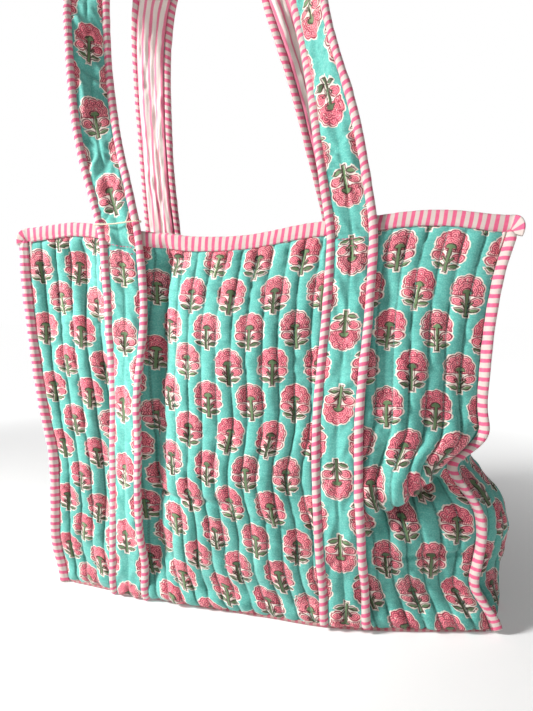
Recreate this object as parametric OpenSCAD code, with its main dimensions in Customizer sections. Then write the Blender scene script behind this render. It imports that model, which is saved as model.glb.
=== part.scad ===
// Quilted tote bag for knitting: padded panels, striped bindings and two strap handles.
// The bag stands on its base. The front faces -Y, +Z is up, and the origin is under the middle.

/* [Bag body] */
// Width of the front between the two corner seams, at the rim
bag_w = 452; // [440:1:470]
// Mean height of the rim above the ground
bag_h = 362; // [350:1:380]
// Depth of the base from front to back
bag_d = 150; // [140:1:160]
// How far the side gussets fold inwards at the rim
gusset_fold = 38; // [25:1:45]
// How far the side gussets bulge outwards near the base
gusset_bulge = 33; // [20:1:36]

/* [Quilted cloth] */
// Thickness of the printed outer cloth
outer_t = 0.8; // [0.5:0.1:1.2]
// Thickness of the cotton wadding
wadding_t = 3; // [2:0.1:4]
// Thickness of the striped lining cloth
lining_t = 0.8; // [0.5:0.1:1.2]

/* [Straps] */
// Width of the quilted web between a strap's two bindings
web_w = 29; // [26:1:32]
// Width of the binding along each edge of a strap
strap_binding_w = 7.8; // [7:0.1:9]
// Thickness of a strap's web
web_t = 4; // [3:0.1:5]
// Thickness of a strap's bound edges
strap_binding_t = 5.6; // [4.5:0.1:6]
// Height of the handles' fold line above the ground
fold_z = 365; // [360:1:372]

/* [Bindings and thread] */
// Height of the binding round the rim
rim_binding_h = 12; // [8:1:16]
// Thickness of the binding cloth
binding_t = 1; // [0.6:0.1:1.5]
// How far the bound corner seams stand out
seam_binding_w = 9; // [6:0.5:11]
// Thickness of the bound corner seams
seam_binding_t = 4.4; // [3:0.1:5]
// Diameter of the thread tied round the left strap
thread_d = 1.4; // [1:0.1:2]

/* [Hidden] */

// Colours of the cloths
PRINT = [0.36, 0.74, 0.66];
WADDING = [0.95, 0.93, 0.88];
STRIPE = [0.93, 0.66, 0.74];
LINING = [0.96, 0.84, 0.86];
THREAD = [0.95, 0.92, 0.82];

wall_t = outer_t + wadding_t + lining_t;
ground_gap = 1;                 // the panels' lower edges clear the ground, and the base rests on it
slip = 0.2;                     // gap between pieces sewn to each other
free_slip = 0.6;                // further gap beside the free webs, which twist
corner_gap = 2;                 // gap between a gusset and the panel that it is sewn to
half_strap = web_w / 2 + strap_binding_w;
kx = bag_w / 452;
ky = bag_d / 150;
kz = bag_h / 362;

// Corner seams: distance of each from the middle at equal steps of height, base to rim
LEFT_EDGE = [196, 204, 202, 203, 212, 219, 224, 226, 226];
RIGHT_EDGE = [225, 209, 203, 189, 204, 207, 209, 215, 226];
// Rim heights at equal steps from left to right
FRONT_RIM = [366, 370, 361, 353, 353, 361, 367, 370, 359];
BACK_RIM = [368, 366, 363, 362, 362, 363, 366, 376, 374];
// Distance of the front and back panels from the middle: rows from base to rim, left to right
FRONT_NET = [
    [62, 70, 75, 80, 83, 72, 55],
    [66, 76, 91, 95, 91, 88, 62],
    [66, 72, 88, 93, 87, 88, 63],
    [67, 69, 79, 84, 76, 78, 70],
    [72, 66, 66, 64, 66, 70, 78]
];
BACK_NET = [
    [66, 74, 78, 80, 78, 72, 60],
    [68, 80, 92, 95, 92, 80, 66],
    [68, 76, 86, 88, 86, 76, 68],
    [68, 66, 68, 72, 68, 66, 68],
    [70, 54, 52, 50, 52, 56, 68]
];
// Centre lines of the sewn straps at equal steps from base to rim
FRONT_LEFT_LINE = [-117, -114, -113, -116, -124];
FRONT_RIGHT_LINE = [97, 92, 89, 94, 97];
BACK_LEFT_LINE = [-120, -120, -122, -130, -136];
BACK_RIGHT_LINE = [92, 90, 88, 84, 80];
// Handle routes from the left foot over the top to the right foot: x, distance to the front
// or back of the middle, height above the fold line, and how far the strap has twisted
FRONT_ROUTE = [
    [-124, 73, 0, 0], [-134, 70, 35, -5], [-147, 65, 78, -16], [-158, 58, 130, -26],
    [-166, 50, 190, -24], [-168, 44, 240, 0], [-148, 39, 288, 62], [-108, 36, 322, 88],
    [-58, 35, 334, 90], [-8, 36, 320, 86], [34, 39, 284, 55], [50, 43, 236, 5],
    [57, 49, 188, -20], [68, 56, 140, -22], [79, 62, 96, -12], [88, 68, 50, 0], [97, 73, 0, 0]
];
BACK_ROUTE = [
    [-136, 59.5, 0, 0], [-136, 50, 38, -6], [-134, 36, 90, -10], [-129, 18, 150, -6],
    [-122, 2, 205, 5], [-112, -7, 246, 30], [-92, -12, 280, 68], [-64, -14, 300, 88],
    [-34, -14, 305, 90], [-6, -13, 294, 84], [12, -9, 264, 55], [24, -2, 226, 10],
    [36, 8, 182, -16], [50, 22, 134, -14], [64, 39, 80, -6], [74, 51, 38, 0], [80, 59.5, 0, 0]
];
route_steps = 40;

function lerp(a, b, t) = a + (b - a) * t;
function cut(i, n) = min(max(i, 0), n);
function curve(p0, p1, p2, p3, t) =
    p1 + 0.5 * t * (p2 - p0 + t * (2 * p0 - 5 * p1 + 4 * p2 - p3 + t * (3 * (p1 - p2) + p3 - p0)));
// Smooth value of a list at t from 0 to 1
function along(list, t) =
    let (n = len(list) - 1, i = cut(floor(t * n), n - 1), f = t * n - i)
    curve(list[cut(i - 1, n)], list[i], list[i + 1], list[cut(i + 2, n)], f);
function across(net, u, v) = along([for (row = net) along(row, u)], v);

// Points of the four walls, at depth d inside their outer faces
function edge_x(u, v) = kx * lerp(-along(LEFT_EDGE, v), along(RIGHT_EDGE, v), u);
function rise(rim, u, v) = lerp(ground_gap, kz * along(rim, u), v);
function front_wall(u, v, d) = [edge_x(u, v), d - ky * across(FRONT_NET, u, v), rise(FRONT_RIM, u, v)];
function back_wall(u, v, d) = [edge_x(u, v), ky * across(BACK_NET, u, v) - d, rise(BACK_RIM, u, v)];
function bulge(v) =
    let (b = gusset_bulge, f = gusset_fold)
    along([10, 0.8 * b, b, 0.6 * b, 5, -5, -0.3 * f, -0.65 * f, -f], v);
function side_wall(side, w, v, d) =
    let (u = side > 0 ? 1 : 0, f = front_wall(u, v, 0), b = back_wall(u, v, 0))
    [
        lerp(f[0], b[0], w) + side * (bulge(v) * sin(180 * w) - d),
        lerp(f[1] + wall_t + corner_gap, b[1] - wall_t - corner_gap, w),
        lerp(f[2], b[2], w)
    ];

// The walls end where the rim's binding starts, and they have the same rows as the corner seams
rim_from = 1 - rim_binding_h / bag_h;
wall_cols = 14;
side_cols = 6;
wall_rows = 12;

// A closed solid between two grids of points, with f(u, v, d) at depths d0 and d1
module slab(f, d0, d1, nu, nv, flip = false) {
    count = (nu + 1) * (nv + 1);
    function at(k, i, j) = k * count + i * (nv + 1) + j;
    function quad(a, b, c, d, turn) = turn ? [[a, b, c], [a, c, d]] : [[a, c, b], [a, d, c]];
    points = [for (d = [d0, d1], i = [0:nu], j = [0:nv]) f(i / nu, j / nv, d)];
    faces = [
        for (k = [0, 1], i = [0:nu - 1], j = [0:nv - 1])
            each quad(at(k, i, j), at(k, i + 1, j), at(k, i + 1, j + 1), at(k, i, j + 1), (k == 1) != flip),
        for (k = [0, 1], i = [0:nu - 1])
            each quad(at(0, i, k * nv), at(1, i, k * nv), at(1, i + 1, k * nv), at(0, i + 1, k * nv),
                (k == 1) != flip),
        for (k = [0, 1], j = [0:nv - 1])
            each quad(at(0, k * nu, j), at(0, k * nu, j + 1), at(1, k * nu, j + 1), at(1, k * nu, j),
                (k == 1) != flip)
    ];
    polyhedron(points, faces);
}

// A closed solid through a list of rings. Each has the same number of points, which run out
// along one side and back along the other, so an end is closed by joining facing points.
module loft(rings, flip = false) {
    m = len(rings[0]);
    last = len(rings) - 1;
    function turned(face, back = false) = flip != back ? [face[2], face[1], face[0]] : face;
    end = [for (j = [0:floor(m / 2) - 1]) let (k = m - 1 - j)
        each k - 1 > j + 1 ? [[j, j + 1, k - 1], [j, k - 1, k]] : k - 1 == j + 1 ? [[j, j + 1, k]] : []];
    faces = [
        for (face = end) turned(face),
        for (i = [0:last - 1], j = [0:m - 1], side = [0, 1])
            let (a = i * m + j, b = i * m + (j + 1) % m)
            turned(j < m / 2 ? (side == 0 ? [a, a + m, b + m] : [a, b + m, b]) :
                (side == 0 ? [a, a + m, b] : [b, a + m, b + m])),
        for (face = end) turned([for (k = face) last * m + k], true)
    ];
    polyhedron([for (ring = rings) each ring], faces);
}

// The three layers of a wall
module wall_layer(f, layer, nu, flip = false) {
    top = [0, outer_t, outer_t + wadding_t, wall_t];
    slab(function(u, v, d) f(u, v * rim_from, d), top[layer], top[layer + 1], nu, wall_rows, flip);
}
module front_layer(layer) {
    wall_layer(function(u, v, d) front_wall(u, v, d), layer, wall_cols);
}
module back_layer(layer) {
    wall_layer(function(u, v, d) back_wall(u, v, d), layer, wall_cols, true);
}
module left_layer(layer) {
    wall_layer(function(w, v, d) side_wall(-1, w, v, d), layer, side_cols, true);
}
module right_layer(layer) {
    wall_layer(function(w, v, d) side_wall(1, w, v, d), layer, side_cols);
}

// The flat base, inside the four walls
base_steps = 14;
function base_outline() =
    let (inset = wall_t + slip, narrow = 1 - (inset + corner_gap) / (bag_w / 2))
    [
        for (i = [0:base_steps]) let (p = front_wall(i / base_steps, 0, inset)) [p[0] * narrow, p[1]],
        for (i = [base_steps:-1:0]) let (p = back_wall(i / base_steps, 0, inset)) [p[0] * narrow, p[1]]
    ];
module base_layer(z, t) {
    translate([0, 0, z]) linear_extrude(t) polygon(base_outline());
}

// The binding of a wall's top edge: it stands on the wall, and is thicker on both sides
module rim_binding(f, nu, flip = false) {
    color(STRIPE) slab(function(u, v, d) f(u, lerp(rim_from, 1, v), d), -binding_t, wall_t + binding_t, nu, 1,
        flip);
}

// A bound seam that stands out from a corner
seam_heights = [for (i = [0:wall_rows]) i / wall_rows * rim_from, 1];
module seam_binding(f, u, front) {
    side = u > 0 ? 1 : -1;
    out = [0.95 * side, -0.3 * front, 0];
    across_out = [0.3 * front * side, 0.95, 0] * front;
    function ring(p) = [for (q = [[0.12, 0.35], [0.6, 0.5], [1, 0.3], [1, -0.3], [0.6, -0.5], [0.12, -0.35]])
        p + out * q[0] * (seam_binding_w + 1.5) + across_out * (q[1] * seam_binding_t + wall_t / 2)];
    color(STRIPE) loft([for (v = seam_heights) ring(f(u, v, 0))], side * front > 0);
}
module base_binding(f, front) {
    function ring(p) = [for (q = [[1, 0.5], [3, 0], [5, 0.2], [5, 3], [3, 4], [1, 3.8]])
        p + [0, -front * q[0], q[1]]];
    ends = 0.02;
    color(STRIPE) loft([for (i = [0:18]) ring(f(lerp(ends, 1 - ends, i / 18), 0, 0))], front < 0);
}

// Sewn straps: points at a across and b out from the wall, at height z
strap_lift = binding_t + 2 * slip;
strap_top = fold_z - 1;
function sewn(f, rim, line, a, b, z, front) =
    let (
        v = z / (strap_top),
        x = kx * along(line, v) + a,
        u0 = x / bag_w + 0.5,
        h = min(1, (z - ground_gap) / (kz * along(rim, u0) - ground_gap)),
        u = (x / kx + along(LEFT_EDGE, h)) / (along(LEFT_EDGE, h) + along(RIGHT_EDGE, h))
    )
    [x, f(u, h, 0)[1] - front * (strap_lift + b), z];
sewn_steps = 16;
function strip(h, low, high) = [[-h, high], [0, high], [h, high], [h, low], [0, low], [-h, low]];
function bound_edge(side) =
    let (a = side * (web_w / 2 + slip), w = side * strap_binding_w, t = strap_binding_t)
    [[a, 0.1 * t], [a, 0.9 * t], [a + 0.35 * w, t], [a + 0.8 * w, 0.85 * t], [a + 0.97 * w, 0.5 * t],
        [a + 0.8 * w, 0.1 * t], [a + 0.35 * w, 0]];
module sewn_solid(f, rim, line, section, front, flip = false) {
    low = ground_gap + 5;
    loft([for (i = [0:sewn_steps])
        [for (q = section) sewn(f, rim, line, q[0], q[1], lerp(low, strap_top, i / sewn_steps), front)]],
        flip);
}
module sewn_web(f, rim, line, front) {
    h = web_w / 2;
    color(PRINT) sewn_solid(f, rim, line, strip(h, 0, web_t), front, front < 0);
}
module sewn_bindings(f, rim, line, front) {
    for (side = [-1, 1])
        color(STRIPE) sewn_solid(f, rim, line, bound_edge(side), front, side * front > 0);
}

// Free straps: points at a across (towards the loop's inside) and b out, along a twisting route
function route_point(route, front, t) =
    let (p = along(route, t)) [p[0], -front * p[1], fold_z + p[2]];
function route_way(route, front, t) =
    t <= 0 ? [0, 0, 1] : t >= 1 ? [0, 0, -1] :
    let (d = route_point(route, front, min(t + 0.01, 1)) - route_point(route, front, max(t - 0.01, 0)))
    d / norm(d);
function ribbon(route, front, t, a, b) =
    let (
        way = route_way(route, front, t),
        twist = along(route, t)[3],
        flat = cross([0, 1, 0], way),
        aside = flat / norm(flat) * cos(twist) - [0, front, 0] * sin(twist),
        out = cross(aside, way) * front,
        span = aside - way * (aside * way)
    )
    route_point(route, front, t) + span / norm(span) * a + out / norm(out) * b;
module ribbon_solid(route, front, section, flip = false) {
    loft([for (i = [0:route_steps])
        [for (q = section) ribbon(route, front, i / route_steps, q[0], q[1])]], flip);
}
module handle_web(route, front) {
    color(PRINT) ribbon_solid(route, front, strip(web_w / 2, lining_t - web_t / 2, web_t / 2), front < 0);
}
module handle_lining(route, front) {
    color(LINING) ribbon_solid(route, front, strip(web_w / 2, -web_t / 2, lining_t - web_t / 2), front < 0);
}
module handle_binding(route, front, side) {
    section = [for (q = bound_edge(side)) [q[0] + side * free_slip, q[1] - strap_binding_t / 2]];
    color(STRIPE) ribbon_solid(route, front, section, side * front > 0);
}

// Rows of stitches that hold the straps' ends just under the rim
module anchor_stitches(f, rim, lines, front) {
    stitch = [2.6, 0.5, 0.8];
    for (line = lines, z = [fold_z - 17, fold_z - 24], k = [-3:3])
        color(THREAD) translate(sewn(f, rim, line, k * 3.6, web_t + 0.9, z, front)) cube(stitch, center = true);
}

// A thread tied closely round the foot of the front handle's left leg
module thread_loop() {
    p = ribbon(FRONT_ROUTE, 1, 0.017, 0, 0);
    r = thread_d / 2;
    h = half_strap + free_slip + r + 0.8;
    t = strap_binding_t / 2 + r + 0.8;
    color(THREAD) translate(p) rotate([-4, -16, 0]) for (part = [0, 1]) mirror([0, part, 0]) {
        translate([0, t, 0]) rotate([0, 90, 0]) cylinder(r = r, h = 2 * (h - t), center = true, $fn = 16);
        for (side = [-1, 1]) translate([side * (h - t), 0, 0]) rotate([0, 0, side > 0 ? 0 : 90])
            rotate_extrude(angle = 90, $fn = 32) translate([t, 0]) circle(r = r, $fn = 16);
    }
}

module front_outer() { color(PRINT) front_layer(0); }
module front_wadding() { color(WADDING) front_layer(1); }
module front_lining() { color(LINING) front_layer(2); }
module back_outer() { color(PRINT) back_layer(0); }
module back_wadding() { color(WADDING) back_layer(1); }
module back_lining() { color(LINING) back_layer(2); }
module left_gusset_outer() { color(PRINT) left_layer(0); }
module left_gusset_wadding() { color(WADDING) left_layer(1); }
module left_gusset_lining() { color(LINING) left_layer(2); }
module right_gusset_outer() { color(PRINT) right_layer(0); }
module right_gusset_wadding() { color(WADDING) right_layer(1); }
module right_gusset_lining() { color(LINING) right_layer(2); }
module base_outer() { color(PRINT) base_layer(0, outer_t); }
module base_wadding() { color(WADDING) base_layer(outer_t, wadding_t); }
module base_lining() { color(LINING) base_layer(outer_t + wadding_t, lining_t); }
module rim_binding_front() { rim_binding(function(u, v, d) front_wall(u, v, d), wall_cols); }
module rim_binding_back() { rim_binding(function(u, v, d) back_wall(u, v, d), wall_cols, true); }
module rim_binding_left() { rim_binding(function(w, v, d) side_wall(-1, w, v, d), side_cols, true); }
module rim_binding_right() { rim_binding(function(w, v, d) side_wall(1, w, v, d), side_cols); }
module seam_binding_front_left() { seam_binding(function(u, v, d) front_wall(u, v, d), 0, 1); }
module seam_binding_front_right() { seam_binding(function(u, v, d) front_wall(u, v, d), 1, 1); }
module seam_binding_back_left() { seam_binding(function(u, v, d) back_wall(u, v, d), 0, -1); }
module seam_binding_back_right() { seam_binding(function(u, v, d) back_wall(u, v, d), 1, -1); }
module base_binding_front() { base_binding(function(u, v, d) front_wall(u, v, d), 1); }
module base_binding_back() { base_binding(function(u, v, d) back_wall(u, v, d), -1); }
front_f = function(u, v, d) front_wall(u, v, d);
back_f = function(u, v, d) back_wall(u, v, d);
module front_left_strap() { sewn_web(front_f, FRONT_RIM, FRONT_LEFT_LINE, 1); }
module front_right_strap() { sewn_web(front_f, FRONT_RIM, FRONT_RIGHT_LINE, 1); }
module back_left_strap() { sewn_web(back_f, BACK_RIM, BACK_LEFT_LINE, -1); }
module back_right_strap() { sewn_web(back_f, BACK_RIM, BACK_RIGHT_LINE, -1); }
module front_left_strap_bindings() { sewn_bindings(front_f, FRONT_RIM, FRONT_LEFT_LINE, 1); }
module front_right_strap_bindings() { sewn_bindings(front_f, FRONT_RIM, FRONT_RIGHT_LINE, 1); }
module back_left_strap_bindings() { sewn_bindings(back_f, BACK_RIM, BACK_LEFT_LINE, -1); }
module back_right_strap_bindings() { sewn_bindings(back_f, BACK_RIM, BACK_RIGHT_LINE, -1); }
module front_handle_web() { handle_web(FRONT_ROUTE, 1); }
module front_handle_lining() { handle_lining(FRONT_ROUTE, 1); }
module front_handle_outer_binding() { handle_binding(FRONT_ROUTE, 1, -1); }
module front_handle_inner_binding() { handle_binding(FRONT_ROUTE, 1, 1); }
module back_handle_web() { handle_web(BACK_ROUTE, -1); }
module back_handle_lining() { handle_lining(BACK_ROUTE, -1); }
module back_handle_outer_binding() { handle_binding(BACK_ROUTE, -1, -1); }
module back_handle_inner_binding() { handle_binding(BACK_ROUTE, -1, 1); }
module front_anchor_stitches() {
    anchor_stitches(front_f, FRONT_RIM, [FRONT_LEFT_LINE, FRONT_RIGHT_LINE], 1);
}
module back_anchor_stitches() {
    anchor_stitches(back_f, BACK_RIM, [BACK_LEFT_LINE, BACK_RIGHT_LINE], -1);
}
module tag_thread() { thread_loop(); }

front_outer();
front_wadding();
front_lining();
back_outer();
back_wadding();
back_lining();
left_gusset_outer();
left_gusset_wadding();
left_gusset_lining();
right_gusset_outer();
right_gusset_wadding();
right_gusset_lining();
base_outer();
base_wadding();
base_lining();
rim_binding_front();
rim_binding_back();
rim_binding_left();
rim_binding_right();
seam_binding_front_left();
seam_binding_front_right();
seam_binding_back_left();
seam_binding_back_right();
base_binding_front();
base_binding_back();
front_left_strap();
front_right_strap();
back_left_strap();
back_right_strap();
front_left_strap_bindings();
front_right_strap_bindings();
back_left_strap_bindings();
back_right_strap_bindings();
front_handle_web();
front_handle_lining();
front_handle_outer_binding();
front_handle_inner_binding();
back_handle_web();
back_handle_lining();
back_handle_outer_binding();
back_handle_inner_binding();
front_anchor_stitches();
back_anchor_stitches();
tag_thread();
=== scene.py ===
"""Quilted cotton tote bag for knitting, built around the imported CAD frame.

Lengths are worked out in millimetres, as in the CAD source, and turned into metres when a
mesh is made. The bag faces -Y, +Z is up, and its origin is on the ground under its middle.
"""

import math

import bpy
import numpy as np
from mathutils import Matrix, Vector


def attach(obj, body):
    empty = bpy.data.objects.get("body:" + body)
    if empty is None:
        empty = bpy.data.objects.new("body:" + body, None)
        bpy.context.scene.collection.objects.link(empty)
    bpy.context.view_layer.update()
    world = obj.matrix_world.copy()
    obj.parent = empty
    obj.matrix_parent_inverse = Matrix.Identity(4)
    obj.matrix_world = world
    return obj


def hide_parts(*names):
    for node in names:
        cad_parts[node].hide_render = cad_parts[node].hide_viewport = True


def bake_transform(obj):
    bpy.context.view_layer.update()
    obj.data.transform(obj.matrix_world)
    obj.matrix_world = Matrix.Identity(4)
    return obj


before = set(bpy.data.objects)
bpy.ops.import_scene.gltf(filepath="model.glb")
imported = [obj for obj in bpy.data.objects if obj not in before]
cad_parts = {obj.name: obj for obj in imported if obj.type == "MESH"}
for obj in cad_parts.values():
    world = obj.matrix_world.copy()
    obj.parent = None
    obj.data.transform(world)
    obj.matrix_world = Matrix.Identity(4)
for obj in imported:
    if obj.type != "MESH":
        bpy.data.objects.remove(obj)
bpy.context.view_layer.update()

MM = 0.001
PI = math.pi

# ---- sizes, as in the CAD source
BAG_W = 452
BAG_H = 362
BAG_D = 150
WALL_T = 4.6
GROUND_GAP = 1
FOLD_Z = 365
SEWN_BELOW = 12          # the straps are sewn down up to this far under the fold line
WEB_W = 29               # the part that shows between the bindings
WEB_HALF = WEB_W / 2 + 0.6
BINDING_W = 7.8
CHANNEL = 15             # distance between the quilting lines
FACING = {"front": -1, "back": 1}

LEFT_EDGE = [196, 204, 202, 203, 212, 219, 224, 226, 226]
RIGHT_EDGE = [225, 209, 203, 189, 204, 207, 209, 215, 226]
RIMS = {
    "front": [366, 370, 361, 353, 353, 361, 365, 367, 359],
    "back": [368, 366, 363, 362, 362, 363, 366, 376, 374],
}
FRONT_NET = [
    [62, 70, 75, 80, 83, 72, 55],
    [66, 76, 91, 95, 91, 88, 62],
    [66, 72, 88, 93, 87, 88, 63],
    [67, 69, 79, 84, 76, 78, 70],
    [72, 66, 66, 64, 66, 70, 78],
]
BACK_NET = [
    [66, 74, 78, 80, 78, 72, 60],
    [68, 80, 92, 95, 92, 80, 66],
    [68, 76, 86, 88, 86, 76, 68],
    [68, 66, 68, 72, 68, 66, 68],
    [70, 54, 52, 50, 52, 56, 68],
]
GUSSET_BULGE = [10, 28, 34, 21, 5, -5, -12, -25, -38]
PRINT_SHIFT = -14        # the print on the front, drawn sideways
PRINT_SAG = 30           # and down at the left, by this at the rim and three times this at the foot
STRAP_LINES = {
    "front": ([-117, -114, -113, -116, -124], [97, 92, 89, 95, 99]),
    "back": ([-120, -120, -122, -130, -136], [92, 90, 88, 84, 80]),
}
ROUTES = {
    "front": [
        [-124, 73, 0, 0], [-134, 70, 35, -6], [-147, 65, 78, -20], [-158, 58, 130, -36],
        [-166, 50, 190, -38], [-168, 44, 240, -10], [-148, 39, 288, 58], [-108, 36, 322, 88],
        [-58, 35, 334, 90], [-8, 36, 320, 84], [34, 39, 284, 48], [50, 43, 236, -14],
        [57, 49, 188, -42], [68, 56, 140, -40], [79, 62, 96, -22], [88, 68, 50, -4], [97, 73, 0, 0],
    ],
    "back": [
        [-136, 59.5, 0, 0], [-136, 50, 38, -6], [-134, 36, 90, -10], [-129, 18, 150, -6],
        [-122, 2, 205, 5], [-112, -7, 246, 30], [-92, -12, 280, 68], [-64, -14, 300, 88],
        [-34, -14, 305, 90], [-6, -13, 294, 84], [12, -9, 264, 50], [24, -2, 226, -6],
        [36, 8, 182, -32], [50, 22, 134, -30], [64, 39, 80, -14], [74, 51, 38, -3], [80, 59.5, 0, 0],
    ],
}


# ---- curves, surfaces and noise
def catmull(p0, p1, p2, p3, t):
    return p1 + 0.5 * t * (p2 - p0 + t * (2 * p0 - 5 * p1 + 4 * p2 - p3 + t * (3 * (p1 - p2) + p3 - p0)))


def along(values, t):
    """Smooth value of a list at t from 0 to 1."""
    values = np.asarray(values, float)
    t = np.asarray(t, float)
    n = len(values) - 1
    i = np.clip(np.floor(t * n).astype(int), 0, n - 1)
    f = t * n - i
    if values.ndim > 1:
        f = f[..., None]
    return catmull(values[np.clip(i - 1, 0, n)], values[i], values[i + 1], values[np.clip(i + 2, 0, n)], f)


def across(table, u, v):
    """Smooth value of a table at column u and row v, both from 0 to 1."""
    u, v = np.broadcast_arrays(np.asarray(u, float), np.asarray(v, float))
    rows = np.stack([along(row, u) for row in table])
    n = len(table) - 1
    i = np.clip(np.floor(v * n).astype(int), 0, n - 1)

    def row(k):
        return np.take_along_axis(rows, np.clip(k, 0, n)[None], 0)[0]

    return catmull(row(i - 1), row(i), row(i + 1), row(i + 2), v * n - i)


def lerp(a, b, t):
    return a + (b - a) * t


def smooth(t):
    t = np.clip(t, 0, 1)
    return t * t * (3 - 2 * t)


def hump(x, width):
    return np.exp(-((x / width) ** 2))


def noise(x, y, seed):
    """Smooth value noise between -1 and 1, with one random value for each whole x and y."""
    table = np.random.default_rng(seed).uniform(-1, 1, (64, 64))
    x, y = np.broadcast_arrays(np.asarray(x, float), np.asarray(y, float))
    i, j = np.floor(x).astype(int), np.floor(y).astype(int)
    s, t = smooth(x - i), smooth(y - j)

    def at(a, b):
        return table[a % 64, b % 64]

    low = lerp(at(i, j), at(i + 1, j), s)
    high = lerp(at(i, j + 1), at(i + 1, j + 1), s)
    return lerp(low, high, t)


def unit(v):
    return v / np.maximum(np.linalg.norm(v, axis=-1, keepdims=True), 1e-9)


def dot(a, b):
    return np.sum(a * b, -1, keepdims=True)


# ---- the folds of the front panel
def front_folds(x, z):
    """How far the front panel stands out (+) or in (-) beyond its plain shape, in large folds."""
    # left of the left strap the cloth lies back, and under the strap it comes forward, to a deep fold
    step = np.clip(-170 + 0.22 * (345 - z), -170, -142)
    out = -7 * hump(x - step, 13) * smooth((z - 30) / 60) * smooth((358 - z) / 30)
    out = out + 10 * hump(x + 105, 15) * smooth((z - 25) / 50) * smooth((300 - z) / 100)
    deep = x + 84 - 0.02 * (z - 180)
    valley = np.exp(-np.abs(deep) / np.where(deep < 0, 12, 17))
    out -= 19 * valley * smooth((z - 12) / 50) * smooth((358 - z) / 30)
    out += 4 * hump(x + 60, 22) * smooth(z / 60) * smooth((350 - z) / 60)
    # a lesser fold beside the right strap
    out -= 6 * hump(x - 127, 8) * smooth((z - 20) / 80) * smooth((350 - z) / 70)
    # the cloth at the lower right hangs over a slanting crease and tucks in under it
    along_crease, above = crease(x, z)
    there = smooth((along_crease + 30) / 30) * smooth((115 - along_crease) / 55)
    out += there * (12 * hump(above - 14, 15) - 17 * hump(above + 7, 10))
    # the foot bulges over the base's seam
    out += 6 * hump(x + 68, 42) * smooth((70 - z) / 60)
    # soft dents
    out += 3.2 * noise(x / 70 + 3, z / 90, 11) + 1.7 * noise(x / 34, z / 40 + 5, 12)
    return out


def crease(x, z):
    """Places along and above the slanting crease, which starts at the right corner seam."""
    right, high, way_x, way_z = 197, 160, -0.84, -0.54
    return (x - right) * way_x + (z - high) * way_z, (x - right) * way_z - (z - high) * way_x


def panel_point(side, u, v):
    """A point of the front (or back) wall's outer face, without its quilting."""
    left, right = along(LEFT_EDGE, v), along(RIGHT_EDGE, v)
    x = lerp(-left, right, u)
    rim = along(RIMS[side], u)
    z = lerp(GROUND_GAP, rim, v)
    edges = smooth(u / 0.05) * smooth((1 - u) / 0.05) * smooth((1 - v) / 0.05)
    foot = 4.5 * hump(z - 12, 8) * smooth(u / 0.03) * smooth((1 - u) / 0.03)
    if side == "front":
        kink = smooth((u - 0.86) / 0.14)
        x = x + kink * (4 * hump(z - 182, 14) - 10 * hump(z - 152, 13) + 4 * hump(z - 118, 15))
        x = x + kink * (8 * hump(z - 106, 30) - 5 * hump(z - 42, 18))
        out = front_folds(x, z) * edges * smooth((v + 0.01) / 0.03) + foot
        along_crease, above = crease(x, z)
        drop = 7.5 * hump(above - 5, 9) * smooth((along_crease + 10) / 30) * smooth((115 - along_crease) / 55)
        return np.stack([x, -across(FRONT_NET, u, v) - out, z - drop * edges], -1)
    dents = 3 * noise(x / 60, z / 80, 21) + 1.4 * noise(x / 30, z / 44, 22)
    return np.stack([x, across(BACK_NET, u, v) + dents * edges * smooth(v / 0.04) + foot, z], -1)


def gusset_point(side, w, v):
    """A point of a side gusset's outer face: w runs from the front to the back."""
    u = 1.0 if side > 0 else 0.0
    u = np.full(np.broadcast(w, v).shape, u)
    w, v = np.broadcast_arrays(w, v)
    front, back = panel_point("front", u, v), panel_point("back", u, v)
    x = lerp(front[..., 0], back[..., 0], w)
    x = x + side * along(GUSSET_BULGE, v) * np.sin(PI * w)
    z = lerp(front[..., 2], back[..., 2], w)
    edges = smooth(w / 0.12) * smooth((1 - w) / 0.12)
    x = x + side * edges * (2.5 * noise(w * 3 + 7, z / 60, 31 + side) + 1.2 * noise(w * 6, z / 25, 33 + side))
    y = lerp(front[..., 1] + WALL_T * 0.4, back[..., 1] - WALL_T * 0.4, w)
    return np.stack([x, y, z], -1)


def normals(surface, u, v, outward):
    """Unit normals of a surface(u, v), turned to the side that outward(points) points to."""
    e = 0.003
    du = surface(np.clip(u + e, 0, 1), v) - surface(np.clip(u - e, 0, 1), v)
    dv = surface(u, np.clip(v + e, 0, 1)) - surface(u, np.clip(v - e, 0, 1))
    n = unit(np.cross(du, dv))
    return np.where(dot(n, outward) < 0, -n, n)


# ---- meshes
def add_object(name, data):
    """A new object in the scene, with this mesh, light or camera."""
    obj = bpy.data.objects.new(name, data)
    bpy.context.scene.collection.objects.link(obj)
    return obj


def make_object(name, points, faces, uvs, material, quilt=None):
    """A mesh from points in mm. uvs and quilt hold one (u, v) in metres for each corner of a face."""
    mesh = bpy.data.meshes.new(name)
    mesh.from_pydata((np.asarray(points) * MM).tolist(), [], faces.tolist())
    layer = mesh.uv_layers.new(name="cloth")
    layer.data.foreach_set("uv", np.asarray(uvs, np.float32).reshape(-1))
    if quilt is not None:
        layer = mesh.uv_layers.new(name="quilt")
        layer.data.foreach_set("uv", np.asarray(quilt, np.float32).reshape(-1))
    mesh.polygons.foreach_set("use_smooth", np.ones(len(faces), bool))
    mesh.materials.append(material)
    mesh.validate()
    mesh.update()
    return add_object(name, mesh)


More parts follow.
